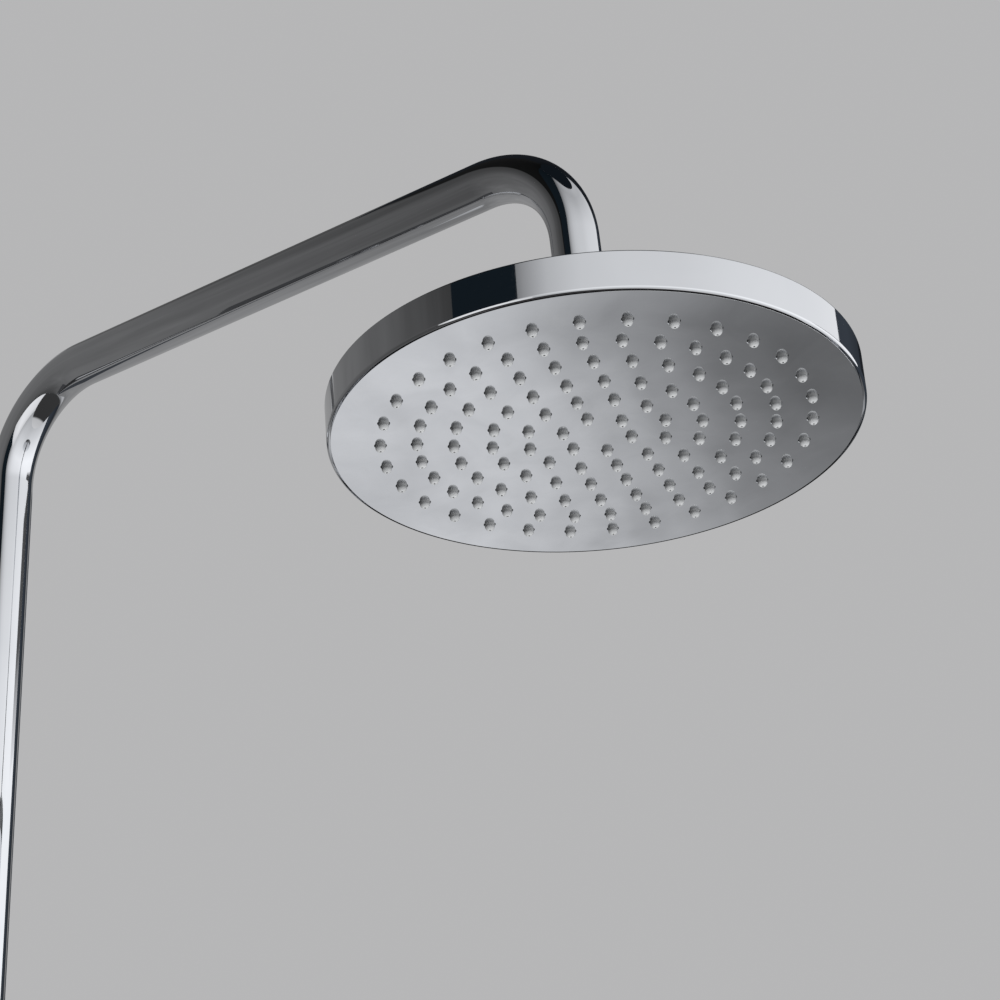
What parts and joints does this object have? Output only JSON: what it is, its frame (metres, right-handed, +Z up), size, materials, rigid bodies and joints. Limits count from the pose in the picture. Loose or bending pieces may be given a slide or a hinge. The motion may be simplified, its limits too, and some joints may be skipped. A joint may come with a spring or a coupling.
{
  "type": "shower column",
  "caption": "Wall-held chrome shower riser that bends into a level arm and a drop, with a large flat round rain head on a ball joint and silicone nozzles",
  "frame": {"origin": "centre of the wall plate's back face, on the wall", "axes": "+Z up along the riser, +X out of the wall along the arm, +Y to the left seen from the wall"},
  "size_m": [0.5948, 0.25, 1.0341],
  "materials": {
    "chrome": "mirror-bright chrome plate over brass",
    "shell_chrome": "mirror-bright chrome plate over moulded ABS",
    "brass": "turned brass, not plated",
    "steel": "plain stainless steel, lightly brushed",
    "satin_face": "satin chrome plate over moulded ABS, soft cloudy reflections",
    "silicone": "translucent grey silicone, slightly glossy",
    "rubber": "black nitrile rubber",
    "bearing_plastic": "white slippery bearing plastic",
    "dark_plastic": "dark grey moulded plastic"
  },
  "bodies": {
    "column": {"riser_tube": "chrome", "swivel_socket": "chrome", "swivel_collar": "chrome", "slip_rings": "bearing_plastic", "foot_spigot": "chrome", "union_washer": "rubber", "wall_plate": "steel", "cover_cap": "chrome", "bracket_post": "chrome", "clamp_ring": "chrome", "clamp_bush": "dark_plastic", "set_screws": "steel"},
    "union": {"union_nut": "chrome"},
    "arm": {"gooseneck_tube": "chrome", "swivel_spigot": "brass", "spigot_rings": "rubber", "outlet_nipple": "chrome", "ball_nut": "chrome", "flow_regulator": "dark_plastic", "filter_washer": "rubber", "filter_screen": "steel"},
    "liner": {"ball_liner": "bearing_plastic"},
    "seal": {"ball_seal": "rubber"},
    "head": {"swivel_cup": "chrome", "ball_collar": "chrome", "neck_gasket": "rubber", "back_nut": "brass", "top_shell": "shell_chrome", "shell_seal": "rubber", "face_plate": "satin_face", "nozzle_mat": "silicone", "water_plate": "dark_plastic", "perimeter_seal": "rubber", "plate_screws": "steel", "snap_ring": "steel"}
  },
  "joints": [
    {"name": "arm_swivel", "type": "hinge", "parent": "column", "child": "arm", "pos_m": [0.06, 0, 0.061], "axis": [0, 0, 1], "range_deg": [-45, 45]},
    {"name": "head_tilt", "type": "hinge", "parent": "arm", "child": "liner", "pos_m": [0.46714, 0, 0.32454], "axis": [0, 1, 0], "range_deg": [-13.7, 10.3]},
    {"name": "head_sway", "type": "hinge", "parent": "liner", "child": "seal", "pos_m": [0.46714, 0, 0.32454], "axis": [0.9972, 0, 0.075], "range_deg": [-12, 12]},
    {"name": "head_spin", "type": "hinge", "parent": "seal", "child": "head", "pos_m": [0.46714, 0, 0.32454], "axis": [-0.075, 0, 0.9972], "continuous": true},
    {"name": "union_spin", "type": "hinge", "parent": "column", "child": "union", "pos_m": [0.06, 0, -0.576], "axis": [0, 0, 1], "continuous": true}
  ]
}
